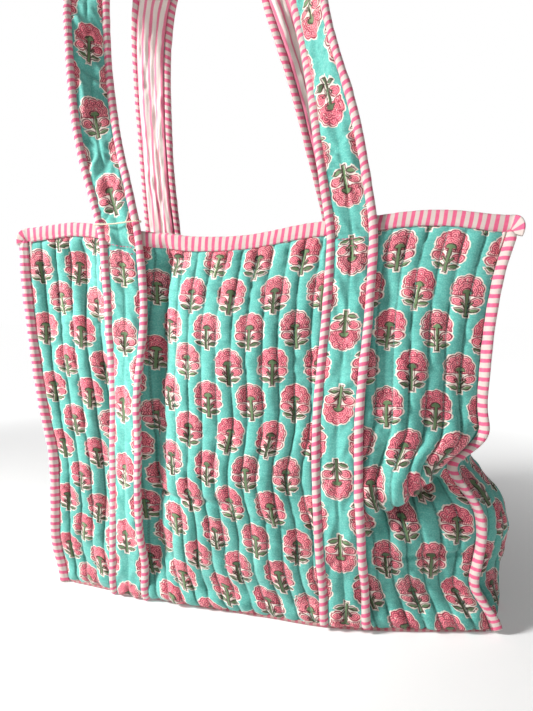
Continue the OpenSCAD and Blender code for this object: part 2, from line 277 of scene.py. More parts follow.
def shell(name, outer, inner, cloth, material, turn=False, quilt=None):
    """A closed piece of cloth between two grids of points of the same size."""
    nu, nv = outer.shape[0] - 1, outer.shape[1] - 1
    points = np.concatenate([outer.reshape(-1, 3), inner.reshape(-1, 3)])
    index = np.arange((nu + 1) * (nv + 1)).reshape(nu + 1, nv + 1)
    back = index + (nu + 1) * (nv + 1)

    def quads(a):
        return np.stack([a[:-1, :-1], a[1:, :-1], a[1:, 1:], a[:-1, 1:]], -1).reshape(-1, 4)

    def edge(a, b):
        return np.stack([a[:-1], b[:-1], b[1:], a[1:]], -1)

    faces = np.concatenate([
        quads(index), quads(back)[:, ::-1],
        edge(index[:, 0], back[:, 0]), edge(back[:, -1], index[:, -1]),
        edge(back[0], index[0]), edge(index[-1], back[-1]),
    ])
    if turn:
        faces = faces[:, ::-1]
    flat = np.concatenate([cloth.reshape(-1, 2), cloth.reshape(-1, 2)]) * MM
    if quilt is not None:
        quilt = (np.concatenate([quilt.reshape(-1, 2), quilt.reshape(-1, 2)]) * MM)[faces]
    return make_object(name, points, faces, flat[faces], material, quilt)


def tube_faces(index):
    """The faces between rows of point numbers, each row a closed ring."""
    nxt = np.roll(index, -1, 1)
    return np.stack([index[:-1], index[1:], nxt[1:], nxt[:-1]], -1).reshape(-1, 4)


def sweep(name, rings, lengths, girths, material, turn=False):
    """A closed piece through rings of points (n, m, 3), laid out by lengths (n) and girths (m + 1) in mm."""
    n, m = rings.shape[:2]
    index = np.arange(n * m).reshape(n, m)
    faces = tube_faces(index)
    u0 = np.meshgrid(lengths[:-1], girths[:-1], indexing="ij")
    u1 = np.meshgrid(lengths[1:], girths[1:], indexing="ij")
    uv = np.stack([
        np.stack([u0[0], u0[1]], -1), np.stack([u1[0], u0[1]], -1),
        np.stack([u1[0], u1[1]], -1), np.stack([u0[0], u1[1]], -1),
    ], 2).reshape(-1, 4, 2) * MM
    ends, end_uv = [], []
    for k, order in ((0, 1), (n - 1, -1)):
        for j in range(m // 2 - 1 + m % 2):
            corners = (j, j + 1, m - 2 - j, m - 1 - j)
            if corners[1] == corners[2]:
                continue
            ends.append([index[k, q] for q in corners][::order])
            end_uv.append([[lengths[k] * MM, girths[q % m] * MM] for q in corners][::order])
    faces = np.concatenate([faces, np.array(ends)])
    uv = np.concatenate([uv, np.array(end_uv)])
    if turn:
        faces, uv = faces[:, ::-1], uv[:, ::-1]
    return make_object(name, rings.reshape(-1, 3), faces, uv, material)


def running_length(points):
    steps = np.linalg.norm(np.diff(points, axis=0), axis=-1)
    return np.concatenate([[0], np.cumsum(steps)])


def loop_length(points):
    """Running length round a closed row of points, back to the first."""
    return running_length(np.vstack([points, points[:1]]))


def boxy(wave, power):
    """A sine or cosine squared off by a power below 1."""
    return np.sign(wave) * np.abs(wave) ** power


# ---- node materials
def node_sum(operation):
    return lambda value, *others: value.op(operation, *others)


class Value:
    """A number in a material's node tree, with the usual sums."""

    def __init__(self, graph, socket):
        self.graph, self.socket = graph, socket

    def op(self, name, *others, clamp=False):
        return self.graph.math(name, self, *others, clamp=clamp)

    def __rsub__(self, o):
        return self.graph.math("SUBTRACT", o, self)

    __add__ = __radd__ = node_sum("ADD")
    __sub__ = node_sum("SUBTRACT")
    __mul__ = node_sum("MULTIPLY")
    __truediv__ = node_sum("DIVIDE")
    abs = node_sum("ABSOLUTE")
    floor = node_sum("FLOOR")
    frac = node_sum("FRACT")
    root = node_sum("SQRT")
    sin = node_sum("SINE")
    cos = node_sum("COSINE")
    least = node_sum("MINIMUM")
    most = node_sum("MAXIMUM")

    def inside(self, soft):
        """1 where this distance is below 0, falling to 0 over a soft edge."""
        return self.op("MULTIPLY_ADD", -1 / soft, 0.5, clamp=True)


def rgb(r, g, b):
    """A display colour, 0 to 255, as the linear colour that a shader takes."""
    def linear(c):
        c /= 255
        return c / 12.92 if c <= 0.04045 else ((c + 0.055) / 1.055) ** 2.4

    return (linear(r), linear(g), linear(b), 1)


class Graph:
    """A material's node tree under one Principled shader."""

    def __init__(self, name, roughness=0.88, sheen=0.25):
        self.material = bpy.data.materials.new(name)
        self.material.use_nodes = True
        self.tree = self.material.node_tree
        self.shader = self.tree.nodes["Principled BSDF"]
        self.shader.inputs["Roughness"].default_value = roughness
        self.shader.inputs["Sheen Weight"].default_value = sheen
        self.shader.inputs["Sheen Roughness"].default_value = 0.5
        self.shader.inputs["Specular IOR Level"].default_value = 0.25

    def node(self, kind, **settings):
        node = self.tree.nodes.new(kind)
        for key, value in settings.items():
            setattr(node, key, value)
        return node

    def feed(self, socket, value):
        if isinstance(value, Value):
            self.tree.links.new(value.socket, socket)
        else:
            socket.default_value = value

    def math(self, operation, *args, clamp=False):
        node = self.node("ShaderNodeMath", operation=operation, use_clamp=clamp)
        for socket, value in zip(node.inputs, args):
            self.feed(socket, value)
        return Value(self, node.outputs[0])

    def cloth(self, layer="cloth"):
        """The cloth's own coordinates, in millimetres."""
        uv = self.node("ShaderNodeUVMap", uv_map=layer)
        parts = self.node("ShaderNodeSeparateXYZ")
        self.tree.links.new(uv.outputs[0], parts.inputs[0])
        return Value(self, parts.outputs[0]) * 1000, Value(self, parts.outputs[1]) * 1000

    def vector(self, x, y, z=0.0):
        node = self.node("ShaderNodeCombineXYZ")
        for socket, value in zip(node.inputs, (x, y, z)):
            self.feed(socket, value)
        return Value(self, node.outputs[0])

    def noise(self, vector, scale, detail=2.0):
        node = self.node("ShaderNodeTexNoise")
        self.feed(node.inputs["Vector"], vector)
        node.inputs["Scale"].default_value = scale
        node.inputs["Detail"].default_value = detail
        return Value(self, node.outputs["Fac"])

    def random(self, vector):
        """Three random numbers that are the same wherever the vector is the same."""
        node = self.node("ShaderNodeTexWhiteNoise", noise_dimensions="3D")
        self.feed(node.inputs["Vector"], vector)
        parts = self.node("ShaderNodeSeparateColor")
        self.tree.links.new(node.outputs["Color"], parts.inputs[0])
        return [Value(self, parts.outputs[i]) for i in range(3)]

    def between(self, kind, first, result, *values):
        node = self.node("ShaderNodeMix", data_type=kind)
        for k, value in zip((0, first, first + 1), values):
            self.feed(node.inputs[k], value)
        return Value(self, node.outputs[result])

    def mix(self, share, a, b):
        return self.between("RGBA", 6, 2, share, a, b)

    def choose(self, share, a, b):
        return self.between("FLOAT", 2, 0, share, a, b)

    def finish(self, colour, height, distance=0.0004, strength=0.6):
        """Plugs in the colour, and a bump from a height."""
        self.feed(self.shader.inputs["Base Color"], colour)
        bump = self.node("ShaderNodeBump")
        bump.inputs["Strength"].default_value = strength
        bump.inputs["Distance"].default_value = distance
        self.feed(bump.inputs["Height"], height)
        self.tree.links.new(bump.outputs[0], self.shader.inputs["Normal"])
        return self.material


def weave(x, y, pitch=0.55):
    """The over and under of a plain weave, 0 to 1."""
    a = (x * (PI / pitch)).sin()
    b = (y * (PI / pitch)).sin()
    return (a * b) * 0.5 + 0.5


def nearest_flower(g, x, y, col, row):
    """Half-drop rows: the place beside the nearest flower's middle, and that flower's random numbers."""
    # two sets of cells, and each point belongs to the nearer flower
    ax, ay = x / col, y / row
    ia, ja = ax.floor(), ay.floor()
    lax, lay = (ax - ia - 0.5) * col, (ay - ja - 0.5) * row
    bx, by = ax + 0.5, ay + 0.5
    ib, jb = bx.floor(), by.floor()
    lbx, lby = (bx - ib - 0.5) * col, (by - jb - 0.5) * row
    second = ((lax.abs() / (col / 2) + lay.abs() / (row / 2)) - 1).op("GREATER_THAN", 0.0)
    cell = g.vector(g.choose(second, ia, ib + 0.37), g.choose(second, ja, jb + 0.61))
    return g.choose(second, lax, lbx), g.choose(second, lay, lby), g.random(cell)


def petals(g, fx, hy, r, spread, reach, start):
    """Distance from the middle of the nearest petal of a ring of them, and from the next petal."""
    share = g.math("ARCTAN2", fx, hy) / spread + start
    off = (share - (share + 0.5).floor()) * spread
    px, py = r * off.sin(), r * off.cos() - reach
    return (px * px * 0.9 + py * py).root(), (spread / 2 - off.abs()) * r


def oval(x, y, half_x, half_y, scale):
    """Distance outside an oval, in about mm."""
    return (((x / half_x) * (x / half_x) + (y / half_y) * (y / half_y)).root() - 1) * scale


def flower(g, fx, fy):
    """Distances outside a flower's head, buds and green parts, in mm, and the lines of its petals."""
    m = fx.abs()
    hy = fy - 4.8
    r = (fx * fx * 1.06 + hy * hy).root()
    outer, gap = petals(g, fx, hy, r, 0.66, 9.3, 0.0)
    inner, _ = petals(g, fx, hy, r, 0.92, 4.9, 0.5)
    head = (outer - 4.6).least(r - 9.2).most(hy * -1 - 4.2)
    px, py = m - 8.0, fy + 4.6
    bud = oval(px * 0.96 + py * 0.28, py * 0.96 - px * 0.28, 5.2, 3.7, 4.0)
    calyx = oval(m, fy - 3.4, 4.3, 3.4, 3.6).most(2.2 - fy)
    stem = (m - 1.6).most(fy - 4).most(fy * -1 - 18.4)
    ux, uy = m - 1, fy + 9.6
    run = ux * 0.64 + uy * 0.77
    branch = ((ux * 0.77 - uy * 0.64).abs() - 0.85).most(run * -1).most(run - 6.0)
    vx, vy = m - 5.9, fy + 12.6
    lp, lq = vx * 0.97 + vy * 0.24, vy * 0.97 - vx * 0.24
    leaf = lq.abs() - (1 - (lp / 5.0) * (lp / 5.0)) * 1.9
    return head, bud, calyx.least(stem).least(branch).least(leaf), outer, inner, gap


def petal_lines(outer, inner, gap, line):
    """Distance outside the fine lines drawn in a flower's head."""
    arcs = ((outer - 2.9).abs() - line * 0.8).least((outer - 1.2).abs() - line * 0.7).least(gap - line * 0.8)
    arcs = arcs.most(3.9 - inner)
    front_arcs = ((inner - 3.9).abs() - line * 0.9).least((inner - 2.3).abs() - line * 0.8)
    front_arcs = front_arcs.least((inner - 0.9).abs() - line * 0.7).most(inner - 4.4)
    return arcs.least(front_arcs)


def turquoise_ground(g, x, y, place, grain):
    """The dyed cloth between the flowers, lighter and darker in soft patches."""
    dye = g.noise(place, 0.035, 3.0)
    mottle = g.noise(g.vector(x * 0.45, y, 3.0), 0.3, 2.0)
    ground = g.mix(dye.op("MULTIPLY_ADD", 1.6, -0.3, clamp=True), rgb(72, 156, 146), rgb(100, 186, 174))
    ground = g.mix((grain - 0.4).op("MULTIPLY", 1.5, clamp=True), ground, rgb(146, 212, 200))
    return g.mix((mottle - 0.5).op("MULTIPLY", 1.4, clamp=True), ground, rgb(58, 128, 120))


def groove_shade_and_stitches(g, colour):
    """The quilting: painted shade darkens the cloth in the stitched grooves, where a thread shows every few
    millimetres.
    """
    qx, qy = g.cloth("quilt")
    lane = ((qx / CHANNEL).frac() - 0.5).abs()
    near = (0.5 - lane) * CHANNEL
    # painted shade: the cloth is darkened towards a deep teal along each stitched groove, as if shaded there
    colour = g.mix((near - 0.8).inside(1.7) * 0.6, colour, rgb(16, 44, 42))
    dash = ((qy / 3.6).frac() - 0.6).inside(0.12)
    return g.mix((near - 0.2).inside(0.25) * dash * 0.6, colour, rgb(112, 186, 172))


def printed_cotton(name, col, row, wide=0.98, tall=0.91, wadded=True):
    """Turquoise cotton with half-drop rows of block-printed flowers, each a little out of register."""
    g = Graph(name)
    x, y = g.cloth()
    place = g.vector(x, y)
    wobble = g.noise(place, 0.35, 1.0)
    wobble2 = g.noise(g.vector(y, x, 7.0), 0.35, 1.0)
    lx, ly, (r1, r2, r3) = nearest_flower(g, x, y, col, row)
    turn = (r1 - 0.5) * 0.2
    lx = lx + (r2 - 0.5) * 2.4
    ly = ly + (r3 - 0.5) * 2.4
    fx = (lx + turn * ly + (wobble - 0.5) * 1.5) / wide
    fy = (ly - turn * lx + (wobble2 - 0.5) * 1.5) / tall
    head, bud, green, outer, inner, gap = flower(g, fx, fy)
    # the colour blocks land a little beside the outline block
    blocks = flower(g, fx + (r3 - 0.5) * 2.4, fy + (r1 - 0.5) * 2.2)
    pink_fill, green_fill = blocks[0].least(blocks[1]) + 0.3, blocks[2] + 0.1

    soft = 0.6
    line = 0.5 + (wobble2 - 0.5) * 0.9
    halo = (head.least(bud).least(green) - 1.5 - (wobble - 0.5) * 2.2).inside(soft)
    outline = (head.abs() - line).least(bud.abs() - line)
    in_head = (head + 0.3).inside(soft)
    drawn = petal_lines(outer, inner, gap, line).inside(soft) * in_head
    bud_line = ((bud + 1.7).abs() - line * 0.7).least((bud + 3.2).abs() - line * 0.5).inside(soft) * 0.85
    green_line = (green.abs() - line).inside(soft)

    grain = g.noise(place, 0.8, 3.0)
    cream = rgb(236, 220, 208)
    pinks = g.mix(r2, rgb(242, 118, 136), rgb(248, 144, 154))
    pinks = g.mix((grain * 1.4 - 0.45).op("MULTIPLY", 1.0, clamp=True), pinks, rgb(242, 160, 166))
    crimson = g.mix(r1, rgb(148, 26, 58), rgb(100, 12, 40))
    leaf_green = g.mix(r3, rgb(112, 140, 98), rgb(78, 100, 70))
    maroon = rgb(62, 18, 30)
    bare = (g.noise(place, 0.45, 1.0) - 0.58).op("MULTIPLY", 8.0, clamp=True) * in_head

    colour = g.mix(halo, turquoise_ground(g, x, y, place, grain), cream)
    for share, layer in (
        (pink_fill.inside(soft) * halo, pinks), (bare * 0.7, cream), (drawn * 0.88, crimson),
        (bud_line, crimson), (outline.inside(soft) * 0.95, crimson),
        (green_fill.inside(soft) * halo, leaf_green), (green_line * 0.88, maroon),
    ):
        colour = g.mix(share, colour, layer)
    if wadded:
        colour = groove_shade_and_stitches(g, colour)
    threads = weave(x, y)
    slub = g.noise(g.vector(x * 0.12, y * 1.4), 1.0, 2.0)
    return g.finish(colour, threads * 0.5 + grain * 0.6 + slub * 0.5)


def stripe(at, pitch, pink_part, ragged):
    """Distance outside the pink stripe in each pitch, with a ragged edge."""
    at = (at / pitch).frac() * pitch
    return (at - pitch / 2).abs() - pink_part / 2 + ragged


def striped_tape(name, slant=0.0, pitch=7.7, pink_part=3.4, darker_share=0.0):
    """Off-white tape with pink stripes across its length, which runs along the first coordinate."""
    g = Graph(name)
    x, y = g.cloth()
    place = g.vector(x, y)
    drift = g.noise(place, 0.05, 1.0)
    rough = g.noise(place, 1.1, 2.0)
    outside = stripe(x + y * slant + drift * 2.2, pitch, pink_part, (rough - 0.5) * 0.35)
    white = g.mix(drift, rgb(222, 208, 200), rgb(206, 190, 182))
    white = g.mix(rough * 0.5, white, rgb(188, 170, 164))
    pink = g.mix(g.noise(place, 0.3, 2.0), rgb(212, 70, 116), rgb(228, 104, 142))
    colour = g.mix(outside.inside(0.45) * 0.95, white, pink)
    # the tape is mixed by this share towards a darker brown-grey all along its length
    if darker_share:
        colour = g.mix(darker_share, colour, rgb(150, 92, 88))
    return g.finish(colour, weave(x, y, 0.5) * 0.6 + rough * 0.6)


def striped_lining(name):
    """Off-white lining with thin pink stripes along the second coordinate."""
    g = Graph(name)
    x, y = g.cloth()
    place = g.vector(x, y)
    rough = g.noise(place, 0.9, 2.0)
    drift = g.noise(place, 0.04, 1.0)
    outside = stripe(x + drift * 2.0, 7.4, 2.8, (rough - 0.5) * 0.3)
    white = g.mix(drift, rgb(240, 230, 222), rgb(228, 214, 206))
    pink = g.mix(rough, rgb(222, 92, 136), rgb(238, 130, 160))
    colour = g.mix(outside.inside(0.5) * 0.9, white, pink)
    return g.finish(colour, weave(x, y, 0.5) * 0.6 + rough * 0.6)


def plain_thread(name, light, dark, twist):
    """Cotton thread with the slanting marks of its twist: painted shade darkens the grooves between its
    plies.
    """
    g = Graph(name, roughness=0.75)
    x, y = g.cloth()
    ply = ((x * twist + y * 2.4).sin()) * 0.5 + 0.5
    # painted shade: the colour goes to the dark one where the ply height is low, in the grooves of the twist
    return g.finish(g.mix(ply, dark, light), ply, distance=0.0002)


PRINT = printed_cotton("printed_cotton", 42.0, 66.0)
STRAP_PRINT = printed_cotton("printed_strap", 46.0, 65.0, wide=0.96, tall=0.92, wadded=False)
TAPE = striped_tape("striped_tape")
STRAP_TAPE = striped_tape("strap_tape", slant=0.25)
RIM_TAPE = striped_tape("rim_tape", pitch=6.7, pink_part=3.1)
# the tape along the base is made darker, towards brown-grey
FOOT_TAPE = striped_tape("foot_tape", pitch=6.7, pink_part=3.1, darker_share=0.6)
LINING = striped_lining("striped_lining")
SEWING = plain_thread("sewing_thread", rgb(226, 120, 150), rgb(176, 70, 104), 2.0)
CREAM = plain_thread("cream_thread", rgb(244, 236, 214), rgb(196, 182, 150), 4.0)


# ---- camera, floor and light
def aim(obj, place, ahead):
    obj.location = place
    obj.rotation_euler = ahead.to_track_quat("-Z", "Y").to_euler()


def camera():
    place = Vector((0.1407, -0.5602, 0.2821))
    yaw, pitch = math.radians(13.7), math.radians(4.3)
    data = bpy.data.cameras.new("camera")
    data.sensor_width = 36
    data.lens = 27.9
    data.clip_start = 0.01
    obj = add_object("camera", data)
    ahead = Vector((-math.sin(yaw) * math.cos(pitch), math.cos(yaw) * math.cos(pitch), -math.sin(pitch)))
    aim(obj, place, ahead)
    bpy.context.scene.camera = obj


def area_light(name, place, target, size, power, spread=PI):
    data = bpy.data.lights.new(name, "AREA")
    data.spread = spread
    data.size = size
    data.energy = power
    obj = add_object(name, data)
    aim(obj, place, Vector(target) - Vector(place))


def ground():
    """A pale floor that glows more with the distance, so that it fades into the white behind."""
    g = Graph("pale_floor", roughness=0.9, sheen=0.0)
    g.shader.inputs["Base Color"].default_value = (0.8, 0.8, 0.79, 1)
    place = g.node("ShaderNodeNewGeometry")
    length = g.node("ShaderNodeVectorMath", operation="LENGTH")
    g.tree.links.new(place.outputs["Position"], length.inputs[0])
    far = Value(g, length.outputs["Value"])
    g.shader.inputs["Emission Color"].default_value = (1, 1, 1, 1)
    glow = ((far - 0.22) / 0.9).op("MULTIPLY", 1.0, clamp=True).op("POWER", 1.2) * 0.75 + 0.18
    g.feed(g.shader.inputs["Emission Strength"], glow)
    size = 12.0
    mesh = bpy.data.meshes.new("floor")
    corners = [(-size, -size, 0), (size, -size, 0), (size, size, 0), (-size, size, 0)]
    mesh.from_pydata(corners, [], [(0, 1, 2, 3)])
    mesh.materials.append(g.material)
    floor = add_object("floor", mesh)


def surroundings():
    """A white world that the camera sees at full strength, and that lights the bag only faintly."""
    world = bpy.data.worlds.new("world")
    bpy.context.scene.world = world
    world.use_nodes = True
    nodes, links = world.node_tree.nodes, world.node_tree.links
    background = nodes["Background"]
    background.inputs[0].default_value = (1, 1, 1, 1)
    seen = nodes.new("ShaderNodeLightPath")
    strength = nodes.new("ShaderNodeMapRange")
    strength.inputs["To Min"].default_value = 0.08
    strength.inputs["To Max"].default_value = 1.0
    links.new(seen.outputs["Is Camera Ray"], strength.inputs["Value"])
    links.new(strength.outputs["Result"], background.inputs[1])


def lights():
    area_light("key", (-1.15, -0.72, 0.92), (-0.07, -0.07, 0.17), 0.3, 7.1, spread=math.radians(72))
    area_light("fill", (0.6, -1.8, 1.5), (0, 0, 0.3), 1.0, 3.2)
    bpy.context.scene.view_settings.view_transform = "Standard"


# ---- quilted panels
def lanes(width, per_lane):
    """Places across a panel, from 0 to 1, closer together beside each quilting line."""
    count = int(round(width / CHANNEL))
    inside = np.linspace(0, 1, per_lane + 1)[:-1]
    crowded = 0.5 - 0.5 * np.cos(PI * inside)
    crowded = lerp(inside, crowded, 0.75)
    places = (np.arange(count)[:, None] + crowded[None]).reshape(-1) / count
    return np.append(places, 1.0)


def lane_of(x, z, seed):
    """The quilting lane that each place is in, counted across the cloth, with its part of a lane."""
    number = np.round(x / CHANNEL)
    wander = 0.9 * noise(number * 3.1, z / 45, seed) + 0.35 * noise(number * 5.7, z / 9, seed + 9)
    return (x + wander) / CHANNEL


def quilting(x, z, seed, height=3.7):
    """How far the wadding lifts the cloth: a soft roll in each lane, pulled in at every stitched line."""
    lane = lane_of(x, z, seed)
    number = np.floor(lane)
    part = lane - number
    roll = np.sqrt(np.maximum(1 - (2 * part - 1) ** 2, 0))
    full = 1 + 0.22 * noise(number * 2.3, z / 38, seed + 1) + 0.2 * noise(number * 1.7, z / 13, seed + 2)
    edge = (1 - roll) ** 1.2
    pucker = 1.3 * noise(number * 5.3 + 0.5 * part, z / 4.2, seed + 3) * edge
    drag = 1.2 * noise(lane * 0.7, (z + 8 * part) / 9.0, seed + 4) * roll
    fine = 0.45 * noise(lane * 1.9, (z - 4 * part) / 4.6, seed + 5) * roll
    return height * roll * full + pucker + drag + fine - 1.6


def packing_creases(x, z):
    """Thin dents where the empty bag was folded for packing."""
    dent = 0
    for left, right, height, slope in ((-95, 5, 113, -0.03), (5, 72, 104, -0.33), (112, 205, 70, 0.05)):
        near = z - height - slope * (x - left) - 1.5 * noise(x / 18, height, 41)
        ends = smooth((x - left) / 14) * smooth((right - x) / 14)
        dent = dent - 2.4 * hump(near, 2.6) * ends + 0.8 * hump(near - 7, 5) * ends
    return dent


def under_straps(side, x, z):
    """1 where a sewn strap lies on the panel, and 0 elsewhere."""
    cover = 0
    for line in STRAP_LINES[side]:
        middle = along(line, np.clip(z / (FOLD_Z - 1), 0, 1))
        cover = np.maximum(cover, smooth((24 - np.abs(x - middle)) / 4))
    return cover


def wall_grid(surface, outward, width, height, rows, per_lane):
    """A grid of a wall: its u and v, places across and up in mm, points and normals."""
    u, v = np.meshgrid(lanes(width, per_lane), np.linspace(0, 1, rows + 1), indexing="ij")
    return u, v, u * width, v * height, surface(u, v), normals(surface, u, v, outward)


def cloth_panel(name, surface, outward, width, height, seed, layout, side, rows, per_lane):
    """The printed outer cloth of a wall, lifted by its wadding."""
    u, v, x, z, base, n = wall_grid(surface, outward, width, height, rows, per_lane)
    lift = quilting(x, z, seed)
    if side:
        lift = lerp(lift, -0.6, under_straps(side, base[..., 0], base[..., 2]))
    if side == "front":
        lift = lift + packing_creases(base[..., 0], base[..., 2])
    borders = smooth(u * width / 5) * smooth((1 - u) * width / 5) * smooth(v * height / 5)
    lift = lerp(lift * borders, -1.5, smooth((z - height + 15) / 5))
    outer = base + n * lift[..., None]
    inner = base - n * 2.2
    cloth = np.stack([x + layout[0], z + layout[1]], -1)
    if side == "front":
        sag = PRINT_SAG * (1 - u) ** 2 * (1 + 2 * (1 - v) ** 2)
        cloth = cloth + np.stack([np.full_like(sag, PRINT_SHIFT), -sag], -1)
    quilt = np.stack([lane_of(x, z, seed) * CHANNEL, z], -1)
    return shell(name, outer, inner, cloth, PRINT, quilt=quilt)


def lining_panel(name, surface, outward, width, height, seed, rows=90, per_lane=5):
    """The striped lining of a wall."""
    _, _, x, z, base, n = wall_grid(surface, outward, width, height, rows, per_lane)
    lift = 0.35 * quilting(x, z, seed) + 0.6
    inside = base - n * (WALL_T - 0.8 + lift[..., None])
    between = base - n * 2.6
    cloth = np.stack([x, z], -1)
    return shell(name, between, inside, cloth, LINING)


def sew(obj, body, slot_name, *nodes):
    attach(obj, body)
    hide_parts(*nodes)
    return obj


def walls():
    def face(side):
        return lambda u, v: panel_point(side, u, v)

    def flank(side):
        return lambda w, v: gusset_point(side, w, v)

    # name, surface, way out, width, height, seed, start of the print, strap side, rows, columns in a channel
    rows = (
        ("front", face("front"), (0, -1, 0), BAG_W, BAG_H, 100, (22, 0), "front", 230, 10),
        ("back", face("back"), (0, 1, 0), BAG_W, BAG_H, 200, (19, 31), "back", 120, 6),
        ("left_gusset", flank(-1), (-1, 0, 0), BAG_D, BAG_H, 300, (5, 40), None, 120, 6),
        ("right_gusset", flank(1), (1, 0, 0), BAG_D, BAG_H, 400, (25, 4), None, 120, 6),
    )
    for name, surface, outward, width, height, seed, layout, side, count, per_lane in rows:
        outward = np.array(outward, float)
        panel = cloth_panel(
            name + "_panel", surface, outward, width, height, seed, layout, side, count, per_lane)
        sew(panel, "bag", "printed_cotton", name + "_outer", name + "_wadding")
        inner = lining_panel(name + "_lining_cloth", surface, outward, width, height, seed)
        sew(inner, "bag", "striped_lining", name + "_lining")


def base_panel():
    """The flat base: printed below, lined above."""
    u, w = np.meshgrid(lanes(BAG_W, 4), np.linspace(0, 1, 61), indexing="ij")
    zero = np.zeros_like(u)
    front, back = panel_point("front", u, zero), panel_point("back", u, zero)
    x = lerp(front[..., 0], back[..., 0], w) * 0.975
    y = lerp(front[..., 1] + WALL_T, back[..., 1] - WALL_T, w)
    quilt = quilting(u * BAG_W, w * BAG_D, 500, height=1.6)
    top = np.full_like(x, 2.4)
    bottom = np.maximum(1.1 - quilt, 0)
    under = np.stack([x, y, bottom], -1)
    middle = np.stack([x, y, top], -1)
    cloth = np.stack([u * BAG_W + 11, w * BAG_D + 9], -1)
    lines = np.stack([u * BAG_W, w * BAG_D], -1)
    outer = shell("base_panel", under, middle, cloth, PRINT, turn=True, quilt=lines)
    sew(outer, "bag", "printed_cotton", "base_outer", "base_wadding")
    lifted = np.stack([x, y, 3.9 + 0.5 * quilt], -1)
    above = np.stack([x, y, top + 0.3], -1)
    inner = shell("base_lining_cloth", lifted, above, np.stack([u * BAG_W, w * BAG_D], -1), LINING)
    sew(inner, "bag", "striped_lining", "base_lining")


# ---- bindings
def capped_edge(half, drop, rise, count=9):
    """Section of tape folded over an edge: (out, up) points from the outer hem over to the inner hem."""
    arc = [(half * math.cos(a), rise + half * 0.55 * math.sin(a)) for a in np.linspace(0, PI, count)]
    outer = [(half * 0.72, -drop), (half * 1.08, -drop + 0.7), (half * 0.9, -drop + 2.2),
             (half * 1.12, -drop + 3.6), (half * 1.12, -drop * 0.45), (half * 1.06, -1.5)]
    return np.array(outer + arc + [(-a, b) for a, b in outer[::-1]])


def bag_tape(name, rings, run, section, material, node):
    obj = sweep(name, rings, run, loop_length(section), material)
    sew(obj, "bag", "striped_binding", node)


def rim_binding(name, surface, inward, node, count=220, facing=0):
    """Striped tape folded over the rim of one wall. With facing, it goes on round the corner and down."""
    t = np.linspace(0, 1, count)
    edge = surface(t, np.ones_like(t))
    below = surface(t, np.full_like(t, 0.965))
    up = unit(edge - below)
    way = unit(np.gradient(edge, axis=0))
    out = np.cross(way, up)
    out = unit(np.where(dot(out, inward) > 0, -out, out))
    drop = 11.5
    section = capped_edge(WALL_T / 2 + 1.3, drop, 0.6)
    middle = edge - out * (WALL_T / 2)
    run = running_length(edge)
    wave = 0.5 * noise(run / 16, 0, 61)[:, None] + 0.25 * noise(run / 5, 3, 62)[:, None]
    rings = middle[:, None] + out[:, None] * (section[None, :, :1] * (1 + 0.12 * wave[..., None]))
    rings = rings + up[:, None] * (section[None, :, 1:] + 0.5 * wave[..., None])
    if facing:
        # at both corners the tape fans round its lower hem, out over the corner's seam
        for end, hand, lean, reach in ((0, -1, 0.3, 0.78), (-1, 1, 0.75, 1.0)):
            ahead = unit(np.array([hand * 0.8, facing * lean, 0]))
            pivot = middle[end] - up[end] * drop
            more = []
            for turn in np.linspace(0.12, 1.9, 14):
                rise = up[end] * math.cos(turn) + ahead * math.sin(turn)
                away = np.maximum(section[:, 1:] + drop, 0.6) * lerp(1, reach, min(turn / 1.5, 1))
                more.append(pivot + out[end] * section[:, :1] + rise * away)
            more = np.array(more)
            rings = np.concatenate([more[::-1], rings] if hand < 0 else [rings, more])
        run = running_length(rings.mean(1))
    bag_tape(name, rings, run, section, RIM_TAPE, node)


def corner_binding(name, side, u, node, count=150):
    """The striped tape round a seam that stands out from a corner."""
    v = np.linspace(0, 0.972, count)
    corner = panel_point(side, np.full_like(v, u), v)
    facing = FACING[side]
    hand = 1 if u > 0.5 else -1
    run = running_length(corner)
    lean = (0.3 if hand < 0 else 0.75) + 0.15 * noise(run / 60, u * 5, 71)
    out = unit(np.stack([np.full_like(v, hand * 0.8), facing * lean, 0 * v], -1))
    way = unit(np.gradient(corner, axis=0))
    thick = unit(np.cross(way, out))
    thick = np.where(thick[:, 1:2] * facing < 0, -thick, thick)
    reach, half = 8.6, 2.9
    section = np.array([
        (-1, -half * 0.5), (0.5, -half * 0.95), (1.5, -half * 0.7), (2.8, -half * 1.05), (5.0, -half * 1.0),
        (7.0, -half * 0.7), (reach, -half * 0.2), (reach, half * 0.3), (7.0, half * 0.75),
        (5.0, half * 1.0), (2.8, half * 1.05), (1.5, half * 0.7), (0.5, half * 0.95), (-1, half * 0.5),
    ])
    wave = noise(run / 11, u * 3, 72)
    rounded = np.sqrt(np.clip(1 - ((run - run[-1] + 8) / 8).clip(0, 1) ** 2, 0.15, 1))[:, None, None]
    reaching = section[None, :, :1] * (1 + 0.05 * wave[:, None, None])
    rings = corner[:, None] + out[:, None] * np.where(reaching > 0, reaching * rounded, reaching)
    rings = rings + thick[:, None] * (section[None, :, 1:] + 0.35 * wave[:, None, None])
    lower_end = smooth((30 - run) / 30)[:, None]
    rings[..., 2] = np.maximum(rings[..., 2], 0.4) + 5 * lower_end * (hand > 0) * section[None, :, 0] / reach
    bag_tape(name, rings, run, section, TAPE, node)


def ground_binding(name, side, node, count=160):
    """The striped tape along the base's long edge."""
    u = np.linspace(0.015, 0.985, count)
    edge = panel_point(side, u, np.zeros_like(u))
    facing = FACING[side]
    section = np.array([(-3, 0.3), (-1, 0.0), (0.8, 0.4), (1.7, 2.0), (1.2, 3.8), (-1, 4.8), (-3, 4.4)])
    run = running_length(edge)
    wave = 0.6 * noise(run / 14, 0, 81)
    rings = np.repeat(edge[:, None], len(section), 1)
    rings[..., 1] += facing * section[None, :, 0] * (1 + 0.2 * wave[:, None])
    rings[..., 2] = section[None, :, 1] + 0.2
    bag_tape(name, rings, run, section, FOOT_TAPE, node)


